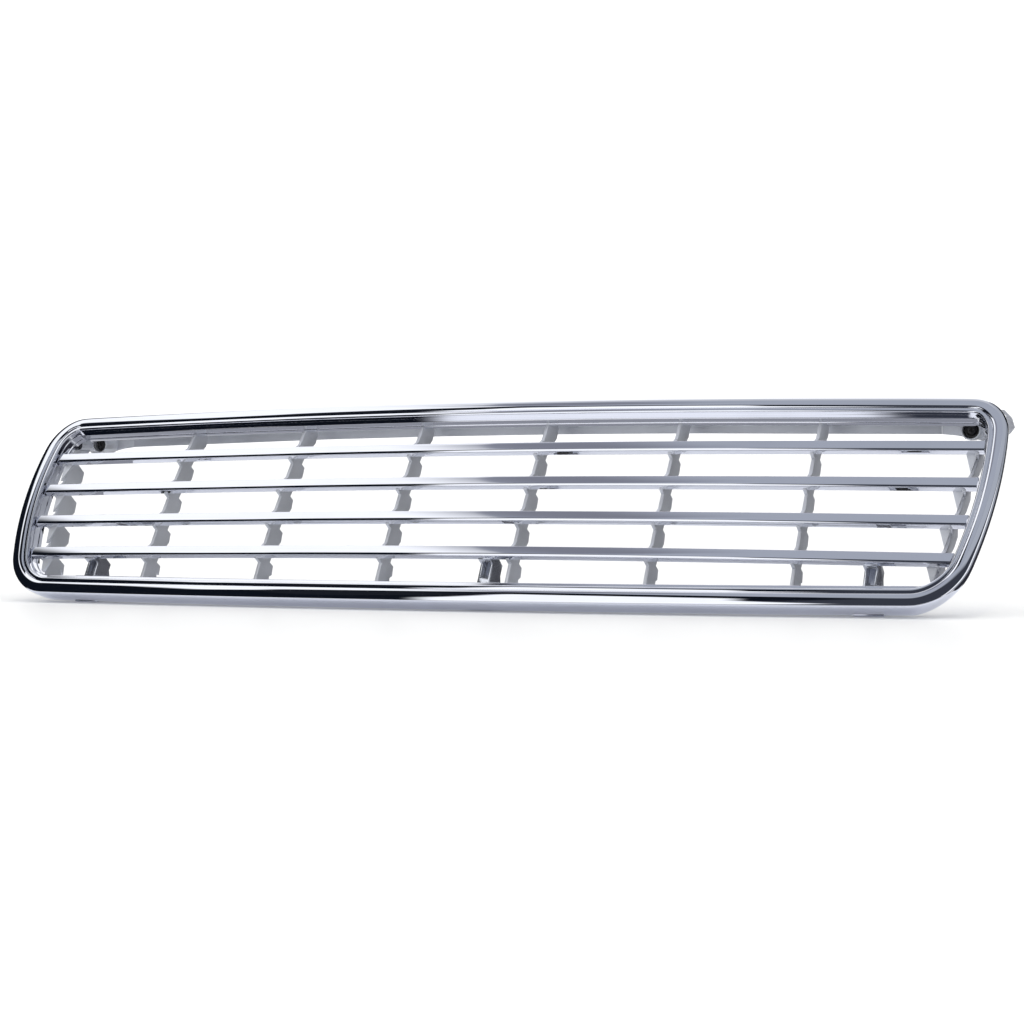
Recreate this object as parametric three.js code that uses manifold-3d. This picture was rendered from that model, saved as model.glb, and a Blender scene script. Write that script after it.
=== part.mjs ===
// Front grille for a saloon car: a chromed surround with a stepped inner wall, four full-width slats,
// six inner ribs and two end ribs, carried at the back by an upper and a lower rail. Three lower feet
// with sprung latches and two upper corner brackets with ears and screws hold it to the car.
// Millimetres. +Z is up, -Y is the front and +X is the viewer's right. The grille stands on its lower
// edge and feet, leaning back, and the origin is on the ground under the middle of its footprint.
import * as THREE from 'three';
import { mergeVertices } from 'three/addons/utils/BufferGeometryUtils.js';
import Module from 'manifold-3d';

const wasm = await Module();
wasm.setup();

// ---- Driving dimensions -------------------------------------------------------------------------

// The face: a height h above the middle of the four slats sets how far back the face lies.
const LEAN = 0.75;                 // backward slope at h = 0
const LEAN_GROWTH = 0.001265;      // how fast the slope grows with height, per mm
const BOW_SPAN = 400;              // distance from the middle at which the bow is given
const BOW = 15.3;                  // how far the ends sweep back at BOW_SPAN
const BOW_FLATTEN = 2.0;           // fourth-order part of the bow
const ARCH = 0.3;                  // how far a line drops for each millimetre that it bows back

// The outline of the surround, as a distance x from the middle and a height h on the face.
const TOP_MIDDLE = 75.4;
const TOP_DROP = 1.8;              // drop of the top edge at TOP_CORNER_X
const TOP_CORNER_X = 388;
const BOTTOM_MIDDLE = -77.2;
const BOTTOM_RISE = 4;             // rise of the bottom edge at BOTTOM_CORNER_X
const BOTTOM_CORNER_X = 362;
const SIDE_WIDEST = 417.6;
const SIDE_WIDEST_H = 37;
const SIDE_CURVE = 0.0021;         // how fast the side curves in, per mm squared
const SIDE_TOP_H = 46;
const SIDE_BOTTOM_H = -44;
const CORNER_PULL = 0.56;          // how far a corner's curve is pulled out to a square corner

// The mouldings are drawn back and down at this angle.
const DRAW_ANGLE = THREE.MathUtils.degToRad(25);
const FACE_PROUD = 5;              // the surround's crest stands this far in front of the slats
const EDGE_DEPTH = 22;             // depth of its outer wall along the top and the bottom
const SIDE_DEPTH = 10;            // depth of its outer wall at the sides
const INNER_DEPTH = 17.5;          // depth of its stepped inner wall
const INNER_INSET = 16.5;          // from the outline to the back of the inner wall, less the ledge
const LEDGE = 3.4;                 // extra width of the inner ledge along the top and the bottom
const WALL = 2.2;

// Slats
const SLAT_COUNT = 4;
const SLAT_SPACING = 26.1;
const SLAT_INSET = 16.6;           // from the outline to a slat's end
const SLAT_LEAN = THREE.MathUtils.degToRad(42);
const SLAT_NOSE = 1.9;             // radius of the slat's lower nose

// Ribs
const RIB_COUNT = 6;
const RIB_PITCH = 110;
const RIB_THICKNESS = 2.6;
const RIB_FRONT = 13;
const RIB_REAR = 38.5;
const RIB_TOP = 66;
const RIB_BOTTOM = -72.5;
const END_RIB_X = 388.5;
const END_RIB_SLOPE = 0.22;
const END_RIB_TOP = 46;
const END_RIB_BOTTOM = -66;
const WEB_REACH = 9;               // how far an end rib's corner web stretches under a slat

const GAP = 0.35;                  // clearance between neighbouring pieces

// Rails, and the screws that hold them to bosses on the ribs and feet
const RAIL_BACK = RIB_REAR + GAP;
const RAIL_THICKNESS = 2.4;
const RAIL_END_X = 359;
const UPPER_RAIL = { low: -12.5, high: 8.4, flange: 7 };    // above and below its screws
const LOWER_RAIL = { low: -5, high: 4 };
const BOSS_RADIUS = 4;
const BOSS_BORE = 1.7;
const UPPER_BOSS_H = 61;
const LOWER_BOSS_H = -69;
const RAIL_HOLE = 1.9;

// Feet and their sprung latches
const FOOT_CENTRES = { left: -328.5, centre: 36, right: 331 };
const FOOT_HALF_WIDTH = 5;
const FOOT_BACK = 33;
const TONGUE_HALF_WIDTH = 11;
const TONGUE_THICKNESS = 3;
const TONGUE_END = 52;             // how far behind the middle of the face the tongues end
const LATCH_PIVOT_Y = 24;
const LATCH_PIVOT_RISE = 7.5;      // above the ground
const LATCH_HALF_WIDTH = 4.5;
const LATCH_REACH = 24;            // from the pivot to the free end
const PIN_RADIUS = 1;

// Corner brackets
const CORNER_TUBES = [
  { name: 'outer', x: 401, h: 50.5, front: 19, radius: 6.2, well: 5 },
  { name: 'inner', x: 384, h: 50, front: 29, radius: 7.6, well: 6.4 },
];
const WELL_FLOOR = 36;
const HEAD_RADIUS = 4.2;
const PLATE_MIDDLE_X = 385;
const EAR_EDGE = 413;
const EAR = { x: 404.5, rise: 0.6, hole: 2.4 };

// ---- Materials ----------------------------------------------------------------------------------

const finish = (color, roughness, metalness) => new THREE.MeshStandardMaterial({ color, roughness, metalness });
const BRIGHT_CHROME = finish(0xe4e6ee, 0.05, 1);
const SATIN_CHROME = finish(0xaeb0b8, 0.32, 1);
const BLACK_PLASTIC = finish(0x1b1c1f, 0.55, 0);
const SPRING_STEEL = finish(0x6f7278, 0.35, 1);
const ZINC = finish(0xb9bcc2, 0.3, 1);

const grille = new THREE.Group();

function add(name, geometry, material) {
  const mesh = new THREE.Mesh(geometry, material);
  mesh.name = name;
  grille.add(mesh);
  return mesh;
}

// ---- Closed solids ------------------------------------------------------------------------------

// Skins a row of matching sections. An open row is closed by caps cut from the flat outline.
function loft(sections, flatOutline, ring = false) {
  const count = sections[0].length;
  const indices = [];
  const spans = ring ? sections.length : sections.length - 1;
  for (let s = 0; s < spans; s++) {
    const here = s * count;
    const next = ((s + 1) % sections.length) * count;
    for (let i = 0; i < count; i++) {
      const j = (i + 1) % count;
      indices.push(here + i, here + j, next + j, here + i, next + j, next + i);
    }
  }
  if (!ring) {
    const last = (sections.length - 1) * count;
    for (const [a, b, c] of capTriangles(flatOutline)) {
      indices.push(c, b, a, last + a, last + b, last + c);
    }
  }
  const geometry = new THREE.BufferGeometry();
  const flatPoints = sections.flat().flatMap((p) => [p.x, p.y, p.z]);
  geometry.setAttribute('position', new THREE.Float32BufferAttribute(flatPoints, 3));
  geometry.setIndex(indices);
  if (signedVolume(geometry) < 0) turnInsideOut(geometry);
  return geometry;
}

// Triangles that fill a flat outline, turning the same way round as the outline does.
function capTriangles(flatOutline) {
  const flat = flatOutline.map(([a, b]) => new THREE.Vector2(a, b));
  const way = Math.sign(THREE.ShapeUtils.area(flat));
  return THREE.ShapeUtils.triangulateShape(flat, []).map(([a, b, c]) => {
    const same = Math.sign(THREE.ShapeUtils.area([flat[a], flat[b], flat[c]])) === way;
    return same ? [a, b, c] : [a, c, b];
  });
}

function signedVolume(geometry) {
  const points = geometry.getAttribute('position');
  const index = geometry.getIndex();
  const corners = [new THREE.Vector3(), new THREE.Vector3(), new THREE.Vector3()];
  let volume = 0;
  for (let i = 0; i < index.count; i += 3) {
    corners.forEach((corner, k) => corner.fromBufferAttribute(points, index.getX(i + k)));
    volume += corners[0].dot(corners[1].clone().cross(corners[2])) / 6;
  }
  return volume;
}

function turnInsideOut(geometry) {
  const order = [...geometry.getIndex().array];
  for (let i = 0; i < order.length; i += 3) {
    [order[i + 1], order[i + 2]] = [order[i + 2], order[i + 1]];
  }
  geometry.setIndex(order);
}

function toSolid(geometry) {
  const bare = geometry.clone();
  bare.deleteAttribute('normal');
  bare.deleteAttribute('uv');
  const merged = mergeVertices(bare, 1e-4);
  return new wasm.Manifold(new wasm.Mesh({
    numProp: 3,
    vertProperties: new Float32Array(merged.getAttribute('position').array),
    triVerts: new Uint32Array(merged.getIndex().array),
  }));
}

function toGeometry(solid) {
  const mesh = solid.getMesh();
  const geometry = new THREE.BufferGeometry();
  geometry.setAttribute('position', new THREE.Float32BufferAttribute(mesh.vertProperties, 3));
  geometry.setIndex(new THREE.Uint32BufferAttribute(mesh.triVerts, 1));
  return geometry;
}

function join(...geometries) {
  return geometries.map(toSolid).reduce((whole, piece) => whole.add(piece));
}

// A flat outline in y and z, extruded along x from one place to another.
function prism(outline, fromX, toX) {
  const atX = (x) => outline.map(([y, z]) => new THREE.Vector3(x, y, z));
  return loft([atX(fromX), atX(toX)], outline);
}

// A turned shape whose axis runs back along y, from a profile of radius against distance.
function turned(profile, x, y, z, sides = 20) {
  const geometry = new THREE.LatheGeometry(profile.map(([r, d]) => new THREE.Vector2(r, d)), sides);
  return closedLathe(geometry.translate(x, y, z));
}

function closedLathe(geometry) {
  const bare = geometry.clone();
  bare.deleteAttribute('normal');
  bare.deleteAttribute('uv');
  const merged = mergeVertices(bare, 1e-4);
  const index = merged.getIndex().array;
  const kept = [];
  for (let i = 0; i < index.length; i += 3) {
    const [a, b, c] = [index[i], index[i + 1], index[i + 2]];
    if (a !== b && b !== c && c !== a) kept.push(a, b, c);
  }
  merged.setIndex(kept);
  if (signedVolume(merged) < 0) turnInsideOut(merged);
  return merged;
}

// ---- The face -----------------------------------------------------------------------------------

const faceY = (h) => LEAN * h + LEAN_GROWTH * h * h;
const faceLean = (h) => Math.atan(LEAN + 2 * LEAN_GROWTH * h);
const bow = (x) => BOW * (x / BOW_SPAN) ** 2 - BOW_FLATTEN * (x / BOW_SPAN) ** 4;

// A point straight behind the face.
function behindFace(x, h, back) {
  return new THREE.Vector3(x, faceY(h) + bow(x) + back, h - ARCH * bow(x));
}

// A point behind the face along the direction in which the mouldings are drawn.
function drawnBack(x, h, depth) {
  const point = behindFace(x, h, depth * Math.cos(DRAW_ANGLE));
  point.z -= depth * Math.sin(DRAW_ANGLE);
  return point;
}

// ---- The outline of the surround ----------------------------------------------------------------

const topEdge = (x) => TOP_MIDDLE - TOP_DROP * (x / TOP_CORNER_X) ** 2;
const bottomEdge = (x) => BOTTOM_MIDDLE + BOTTOM_RISE * (x / BOTTOM_CORNER_X) ** 2;
const sideEdge = (h) => SIDE_WIDEST - SIDE_CURVE * (h - SIDE_WIDEST_H) ** 2;

const steps = (from, to, count) => Array.from({ length: count }, (_, i) => from + ((to - from) * i) / count);

// A rounded corner from one point to another, bulging towards the square corner between them.
function corner(from, to, square, count) {
  const pull = (point) => point.clone().lerp(square, CORNER_PULL);
  const curve = new THREE.CubicBezierCurve(from, pull(from), pull(to), to);
  return steps(0, 1, count).map((t) => curve.getPoint(t));
}

// The right half of the outline, from the middle of the top round to the middle of the bottom.
function halfOutline() {
  const topCorner = new THREE.Vector2(TOP_CORNER_X, topEdge(TOP_CORNER_X));
  const sideTop = new THREE.Vector2(sideEdge(SIDE_TOP_H), SIDE_TOP_H);
  const sideBottom = new THREE.Vector2(sideEdge(SIDE_BOTTOM_H), SIDE_BOTTOM_H);
  const bottomCorner = new THREE.Vector2(BOTTOM_CORNER_X, bottomEdge(BOTTOM_CORNER_X));
  const squareTop = new THREE.Vector2(sideTop.x, topCorner.y);
  const squareBottom = new THREE.Vector2(
    sideBottom.x - (sideBottom.y - bottomCorner.y) * 2 * SIDE_CURVE * (SIDE_WIDEST_H - SIDE_BOTTOM_H),
    bottomCorner.y,
  );
  return [
    ...steps(0, TOP_CORNER_X, 8).map((x) => new THREE.Vector2(x, topEdge(x))),
    ...corner(topCorner, sideTop, squareTop, 8),
    ...steps(SIDE_TOP_H, SIDE_BOTTOM_H, 5).map((h) => new THREE.Vector2(sideEdge(h), h)),
    ...corner(sideBottom, bottomCorner, squareBottom, 9),
    ...steps(BOTTOM_CORNER_X, 0, 8).map((x) => new THREE.Vector2(x, bottomEdge(x))),
    new THREE.Vector2(0, BOTTOM_MIDDLE),
  ];
}

// Stations all round the outline, each with the direction that points inwards on the face.
function stations() {
  const half = halfOutline();
  const other = half.slice(1, -1).reverse().map((p) => new THREE.Vector2(-p.x, p.y));
  const loop = [...half, ...other];
  return loop.map((point, i) => {
    const before = loop[(i + loop.length - 1) % loop.length];
    const after = loop[(i + 1) % loop.length];
    const cosLean = Math.cos(faceLean(point.y));
    const along = new THREE.Vector2(after.x - before.x, (after.y - before.y) / cosLean).normalize();
    return { x: point.x, h: point.y, inX: along.y, inH: -along.x * cosLean };
  });
}

const OUTLINE = stations();
const HALF_COUNT = halfOutline().length;

// How far from the middle the surround reaches at a height, at an inset from its outline.
function reach(h, inset) {
  const half = OUTLINE.slice(0, HALF_COUNT).map((s) => [s.x + s.inX * inset, s.h + s.inH * inset]);
  for (let i = 1; i < half.length; i++) {
    const [x0, h0] = half[i - 1];
    const [x1, h1] = half[i];
    if (x0 > SIDE_WIDEST / 2 && h0 >= h && h1 < h) return x0 + ((x1 - x0) * (h0 - h)) / (h0 - h1);
  }
  throw new Error(`no side wall at height ${h}`);
}

// ---- Surround -----------------------------------------------------------------------------------

// The inner ledge is wide along the top and bottom and narrow at the sides, where the outer wall is low.
const ledgeAt = (station) => LEDGE * (1 - Math.abs(station.inX));
const outerDepthAt = (station) => EDGE_DEPTH + (SIDE_DEPTH - EDGE_DEPTH) * Math.abs(station.inX);

// The surround's section at a station: inset from the outline, and depth behind the crest of the face.
function surroundSection(station) {
  const ledge = ledgeAt(station);
  const depth = outerDepthAt(station);
  const inner = INNER_INSET + ledge;
  return [
    [0.5, depth], [0, 5], [0.35, 2.6], [1.3, 0.95], [3, 0.15], [5.2, 0], [7.8, 0.15], [10.2, 0.7], [10.8, 1.5],
    [11.5, 1.1], [12.9, 1], [14.1, 1.6], [14.7, 2.6], [15, 6], [15.2 + ledge, 6.8], [15.4 + ledge, 7.6],
    [15.6 + ledge, 13], [16.3 + ledge, 13.7], [inner, INNER_DEPTH], [inner - WALL, INNER_DEPTH],
    [14 + ledge, 15.2], [13.4 + ledge, 14.6], [13.2 + ledge, 8.8], [12.8, 8.2], [12.4, 3.9],
    [5.4, WALL], [3.2, 3], [WALL + 0.1, 5.5], [WALL + 0.5, depth],
  ];
}

// The space that the surround fills, with a clearance all round, for cutting the pieces behind it.
function surroundSpaceSection(station) {
  const inner = INNER_INSET + ledgeAt(station) + GAP;
  const back = outerDepthAt(station) + GAP;
  return [[-4, -3], [inner, -3], [inner, INNER_DEPTH + GAP], [12.8, INNER_DEPTH + GAP],
    [WALL + 0.5 + GAP, INNER_DEPTH + GAP - 4], [WALL + 0.5 + GAP, back], [-4, back]];
}

// A closed ring swept round the outline, from a section that may change with the station.
function ringRound(sectionAt) {
  const ring = OUTLINE.map((station) => sectionAt(station).map(([inset, depth]) =>
    drawnBack(station.x + station.inX * inset, station.h + station.inH * inset, depth - FACE_PROUD)));
  return loft(ring, null, true);
}

const SURROUND_SPACE = toSolid(ringRound(surroundSpaceSection));

// ---- Slats --------------------------------------------------------------------------------------

const slatHeight = (row) => ((SLAT_COUNT + 1) / 2 - row) * SLAT_SPACING;

// A slat's section: distance inwards from the face and distance up the face. Its lower nose is round.
function slatSection(grow) {
  const points = [[6.9 + grow, 1.6 + grow], [1.6, 6.2 + grow], [-grow, 5.8 + grow]];
  const radius = SLAT_NOSE + grow;
  for (const degrees of [180, 210, 240, 270]) {
    const turn = THREE.MathUtils.degToRad(degrees);
    points.push([SLAT_NOSE + radius * Math.cos(turn), -1 + radius * Math.sin(turn)]);
  }
  points.push([5.6 + grow, -1 - radius]);
  return points;
}

function slatPoint(x, row, [inwards, up]) {
  const point = behindFace(x, slatHeight(row), 0);
  point.y += inwards * Math.cos(SLAT_LEAN) + up * Math.sin(SLAT_LEAN);
  point.z += up * Math.cos(SLAT_LEAN) - inwards * Math.sin(SLAT_LEAN);
  return point;
}

// A length of slat. Without limits it fills the space between the side walls.
function slat(row, fromX, toX, grow = 0, spans = 16) {
  const section = slatSection(grow);
  const h = slatHeight(row);
  const ends = section.map(([, up]) => reach(h + up * Math.cos(SLAT_LEAN), SLAT_INSET));
  const sections = [];
  for (let s = 0; s <= spans; s++) {
    const share = s / spans;
    sections.push(section.map((point, i) => {
      const low = fromX ?? -ends[i];
      const high = toX ?? ends[i];
      return slatPoint(low + (high - low) * share, row, point);
    }));
  }
  return loft(sections, section);
}

const ROWS = Array.from({ length: SLAT_COUNT }, (_, i) => i + 1);

// ---- Ribs ---------------------------------------------------------------------------------------

// Heights and depths of a rib's toothed back edge in one cell, from the slat above to the next below.
const RIB_TEETH = [[0.18, 29.5], [0.43, 28.5], [0.56, 35.5], [0.84, 37.4]];
const END_RIB_TEETH = [[0.2, 24], [0.52, 38], [0.84, RIB_REAR]];

// The outline of a rib as distance behind the face and height, between two heights.
function ribOutline(top, bottom, teeth) {
  const points = [[RIB_REAR - 6, top], [RIB_FRONT, top]];
  for (const row of ROWS) {
    const h = slatHeight(row);
    points.push([RIB_FRONT, h + 5], [6, h + 1], [5.2, h - 6.4], [RIB_FRONT, h - 10.4]);
  }
  points.push([RIB_FRONT, bottom], [RIB_REAR - 1, bottom], [RIB_REAR - 5, bottom + 10]);
  for (const row of [...ROWS].reverse()) {
    for (const [share, back] of [...teeth].reverse()) {
      points.push([back, slatHeight(row) - share * SLAT_SPACING]);
    }
  }
  points.push([RIB_REAR, slatHeight(1) + 6]);
  return points;
}

// A rib standing at a place x that may change with height, cut clear of the slats and the surround.
function rib(placeAt, top, bottom, teeth, webs = []) {
  const outline = ribOutline(top, bottom, teeth);
  const side = (offset) => outline.map(([back, h]) => behindFace(placeAt(h) + offset, h, back));
  let solid = toSolid(loft([side(-RIB_THICKNESS / 2), side(RIB_THICKNESS / 2)], outline));
  for (const web of webs) solid = solid.add(toSolid(web));
  const reachX = placeAt(0);
  for (const row of ROWS) {
    solid = solid.subtract(toSolid(slat(row, reachX - 18, reachX + 18, GAP, 2)));
  }
  return solid.subtract(SURROUND_SPACE);
}

const ribPlace = (number) => (number - (RIB_COUNT + 1) / 2) * RIB_PITCH;

// A round solid that runs straight back from one distance behind the face to another.
function roundBar(x, h, radius, from, to, sides = 16) {
  const seat = behindFace(x, h, 0);
  return turned([[0, from], [radius, from], [radius, to], [0, to]], x, seat.y, seat.z, sides);
}

// Adds a bored screw boss, whose end stands at the rail.
function withBoss(solid, x, h) {
  const boss = toSolid(roundBar(x, h, BOSS_RADIUS, 25, RIB_REAR, 12));
  const bore = toSolid(roundBar(x, h, BOSS_BORE, 28, RIB_REAR + 2, 8));
  return solid.add(boss).subtract(bore);
}

const upperBossHeight = (x) => UPPER_BOSS_H + topEdge(x) - TOP_MIDDLE;
const lowerBossHeight = (x) => LOWER_BOSS_H + bottomEdge(x) - BOTTOM_MIDDLE;

function innerRib(number) {
  const x = ribPlace(number);
  const top = RIB_TOP + topEdge(x) - TOP_MIDDLE;
  const bottom = RIB_BOTTOM + bottomEdge(x) - BOTTOM_MIDDLE;
  const plain = rib(() => x, top, bottom, RIB_TEETH);
  return toGeometry(withBoss(withBoss(plain, x, upperBossHeight(x)), x, lowerBossHeight(x)));
}

// An end rib leans with the side wall and has a small corner web under each slat.
function endRib(sign) {
  const place = (h) => sign * (END_RIB_X + END_RIB_SLOPE * h);
  const webs = ROWS.map((row) => {
    const h = slatHeight(row);
    const outline = [[place(h - 5), h - 5], [place(h - 5) - sign * WEB_REACH, h - 5], [place(h - 20), h - 20]];
    return loft([7.5, 11].map((back) => outline.map(([x, height]) => behindFace(x, height, back))), outline);
  });
  let solid = rib(place, END_RIB_TOP, END_RIB_BOTTOM, END_RIB_TEETH, webs);
  for (const { x, h, front, radius } of CORNER_TUBES) {
    solid = solid.subtract(toSolid(roundBar(sign * x, h, radius + GAP, front - GAP, RIB_REAR + 4, 12)));
  }
  return toGeometry(solid);
}

// ---- Rails --------------------------------------------------------------------------------------

const RAIL_FRONT_TO_BACK = [RAIL_BACK, RAIL_BACK + RAIL_THICKNESS];
const RIB_PLACES = Array.from({ length: RIB_COUNT }, (_, i) => ribPlace(i + 1));
const UPPER_SCREWS = RIB_PLACES.map((x) => [x, upperBossHeight(x)]);
const LOWER_SCREWS = [...RIB_PLACES, ...Object.values(FOOT_CENTRES)].map((x) => [x, lowerBossHeight(x)]);

// A point level with a line of screws, moved back and then straight up.
function besideScrews(x, screwH, back, rise) {
  const point = behindFace(x, screwH, back);
  point.z += rise;
  return point;
}

// An upright rail that follows the bow of the face, from a section given about its line of screws.
function rail(section, heightAt, screws) {
  const spans = 14;
  const sections = steps(-RAIL_END_X, RAIL_END_X, spans).concat(RAIL_END_X).map((x) =>
    section.map(([back, rise]) => besideScrews(x, heightAt(x), back, rise)));
  let solid = toSolid(loft(sections, section));
  for (const [x, h] of screws) {
    solid = solid.subtract(toSolid(roundBar(x, h, RAIL_HOLE, RAIL_BACK - 3, RAIL_BACK + 6, 8)));
  }
  return toGeometry(solid);
}

function upperRail() {
  const [front, back] = RAIL_FRONT_TO_BACK;
  const { low, high, flange } = UPPER_RAIL;
  const under = high - RAIL_THICKNESS;
  const lip = front - flange;
  return rail([[front, low], [back, low], [back, high], [lip, high], [lip, under], [front, under]],
    upperBossHeight, UPPER_SCREWS);
}

function lowerRail() {
  const [front, back] = RAIL_FRONT_TO_BACK;
  const { low, high } = LOWER_RAIL;
  return rail([[front, low], [back, low], [back, high], [front, high]], lowerBossHeight, LOWER_SCREWS);
}

// A pan-head screw put in from behind, with its head clear of the rail.
function railScrew([x, h]) {
  const seat = behindFace(x, h, 0);
  const under = RAIL_BACK + RAIL_THICKNESS + 0.3;
  const profile = [[0, 29], [1.35, 30], [1.35, under], [3.4, under], [3.4, under + 1], [2.5, under + 2], [0, under + 2.3]];
  return turned(profile, x, seat.y, seat.z, 8);
}

// ---- Feet and latches ---------------------------------------------------------------------------

const surroundGeometry = ringRound(surroundSection);
surroundGeometry.computeBoundingBox();
const GROUND = surroundGeometry.boundingBox.min.z;

// A foot: a tower that carries the lowest slat, and a tongue that runs back along the ground.
function foot(x) {
  const lowest = slatHeight(SLAT_COUNT);
  const place = ([back, h]) => {
    const point = behindFace(x, h, back);
    return [point.y, point.z];
  };
  const bossH = lowerBossHeight(x);
  const padded = (rise) => {
    const point = besideScrews(x, bossH, RIB_REAR, rise);
    return [point.y, point.z];
  };
  const tower = [
    ...[[FOOT_BACK, lowest - 13], [17, lowest - 4], [14, lowest + 1], [6, lowest + 1], [5.2, lowest - 6.4],
      [RIB_FRONT, lowest - 10.4], [RIB_FRONT, -80]].map(place),
    [place([RIB_FRONT, -80])[0], GROUND],
    [LATCH_PIVOT_Y - 8, GROUND], [LATCH_PIVOT_Y - 8, GROUND + TONGUE_THICKNESS],
    padded(-5), padded(5), place([FOOT_BACK, bossH + 9]),
  ];
  const towerSolid = toSolid(prism(tower, x - FOOT_HALF_WIDTH, x + FOOT_HALF_WIDTH));
  const front = place([RIB_FRONT, -80])[0];
  const tongue = [[front, GROUND], [TONGUE_END, GROUND], [TONGUE_END, GROUND + 2],
    [TONGUE_END - 2, GROUND + TONGUE_THICKNESS], [front, GROUND + TONGUE_THICKNESS]];
  let solid = towerSolid.add(toSolid(prism(tongue, x - TONGUE_HALF_WIDTH, x + TONGUE_HALF_WIDTH)));
  solid = solid.add(cheek(x, -1)).add(cheek(x, 1)).subtract(pocket(x)).subtract(SURROUND_SPACE);
  solid = solid.subtract(toSolid(slat(SLAT_COUNT, x - 18, x + 18, GAP, 2)));
  return toGeometry(solid.subtract(toSolid(roundBar(x, bossH, BOSS_BORE, 28, RIB_REAR + 2, 8))));
}

// The hollow in the front of a foot's tower.
function pocket(x) {
  const outline = [[-4, -48], [22, -48], [22, -60], [-4, -60]].map(([back, h]) => {
    const point = behindFace(x, h, back);
    return [point.y, point.z];
  });
  return toSolid(prism(outline, x - FOOT_HALF_WIDTH + 1.8, x + FOOT_HALF_WIDTH - 1.8));
}

// One of the two cheeks that hold a latch's pin.
function cheek(x, sign) {
  const top = LATCH_PIVOT_RISE + 3;
  const outline = [[-4, 1], [5, 1], [3, top - 2], [1.5, top], [-1.5, top], [-3, top - 2]];
  const placed = outline.map(([y, rise]) => [LATCH_PIVOT_Y + y, GROUND + rise]);
  const near = x + sign * (LATCH_HALF_WIDTH + GAP);
  const plate = toSolid(prism(placed, near, near + sign * 2.2));
  return plate.subtract(toSolid(pivotBar(x, PIN_RADIUS + GAP, LATCH_HALF_WIDTH + 6)));
}

// A round bar along x through the middle of a latch's pivot.
function pivotBar(x, radius, halfLength, sides = 12) {
  const profile = [[0, -halfLength], [radius, -halfLength], [radius, halfLength], [0, halfLength]];
  const geometry = turned(profile, 0, 0, 0, sides);
  geometry.applyMatrix4(new THREE.Matrix4().makeRotationZ(-Math.PI / 2));
  return geometry.translate(x, LATCH_PIVOT_Y, GROUND + LATCH_PIVOT_RISE);
}

// A latch: a knuckle on its pin and a strip that rises to a barbed free end.
function latch(x) {
  const strip = [[0, -0.8], [LATCH_REACH - 7, 2.6], [LATCH_REACH - 6, 1], [LATCH_REACH, 1.6],
    [LATCH_REACH - 6.5, 5], [0, 0.8]];
  const placed = strip.map(([y, rise]) => [LATCH_PIVOT_Y + y, GROUND + LATCH_PIVOT_RISE + rise]);
  const body = join(prism(placed, x - LATCH_HALF_WIDTH, x + LATCH_HALF_WIDTH), pivotBar(x, 2.5, LATCH_HALF_WIDTH, 16));
  return toGeometry(body.subtract(toSolid(pivotBar(x, PIN_RADIUS + GAP, LATCH_HALF_WIDTH + 2))));
}

// ---- Corner brackets ----------------------------------------------------------------------------

// A point of the flat upright plate, which stands at the rail's depth half way along the bracket.
function platePoint(sign, x, back, rise) {
  const point = besideScrews(sign * x, upperBossHeight(x), back, rise);
  point.y = behindFace(PLATE_MIDDLE_X, upperBossHeight(PLATE_MIDDLE_X), back).y;
  return point;
}

// How far behind the face the back of the plate lies, at a place on the face.
function plateBack(x, h) {
  return platePoint(1, x, RAIL_BACK + RAIL_THICKNESS, 0).y - behindFace(x, h, 0).y;
}

// An upright plate at the rail's depth, with two screw tubes reaching forward and an ear outside.
function cornerBracket(sign) {
  const inner = RAIL_END_X + GAP;
  const { low, high } = UPPER_RAIL;
  const outline = [[inner, low], [371, low - 1], [384, -16], [389, -17], [405, -16], [EAR_EDGE - 2.5, -10.5],
    [EAR_EDGE, -7], [EAR_EDGE - 2, 0], [405.5, 6], [394, high - 1], [inner, high]];
  const face = (back) => outline.map(([x, rise]) => platePoint(sign, x, back, rise));
  let solid = toSolid(loft(RAIL_FRONT_TO_BACK.map(face), outline));
  for (const { x, h, front, radius } of CORNER_TUBES) {
    solid = solid.add(toSolid(roundBar(sign * x, h, radius, front, plateBack(x, h) - 1, 12)));
  }
  for (const { x, h, front, well } of CORNER_TUBES) {
    solid = solid.subtract(toSolid(roundBar(sign * x, h, well, front - 2, WELL_FLOOR, 16)));
    solid = solid.subtract(toSolid(roundBar(sign * x, h, 2.3, WELL_FLOOR - 1, plateBack(x, h) + 4, 10)));
  }
  const ear = platePoint(sign, EAR.x, RAIL_BACK, EAR.rise);
  const earHole = turned([[0, -4], [EAR.hole, -4], [EAR.hole, 8], [0, 8]], ear.x, ear.y, ear.z);
  solid = solid.subtract(toSolid(earHole));
  return toGeometry(solid.subtract(SURROUND_SPACE));
}

// A pan-head screw at the bottom of a corner tube, its point standing out behind the plate.
function cornerScrew(sign, { x, h }) {
  const seat = behindFace(sign * x, h, 0);
  const head = WELL_FLOOR - 1.2 - GAP * 2;
  const tip = plateBack(x, h) + 8;
  const profile = [[0, head - 2.4], [HEAD_RADIUS * 0.6, head - 2.2], [HEAD_RADIUS, head - 1.1],
    [HEAD_RADIUS, head], [1.9, head], [1.9, tip - 3], [0.6, tip], [0, tip]];
  return turned(profile, sign * x, seat.y, seat.z, 16);
}

function cornerWasher(sign, { x, h, well }) {
  const seat = behindFace(sign * x, h, 0);
  const [front, back] = [WELL_FLOOR - 1.2 - GAP, WELL_FLOOR - GAP];
  const rim = well - GAP;
  const profile = [[2.3, front], [rim, front], [rim, back], [2.3, back], [2.3, front]];
  return turned(profile, sign * x, seat.y, seat.z, 16);
}

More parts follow.
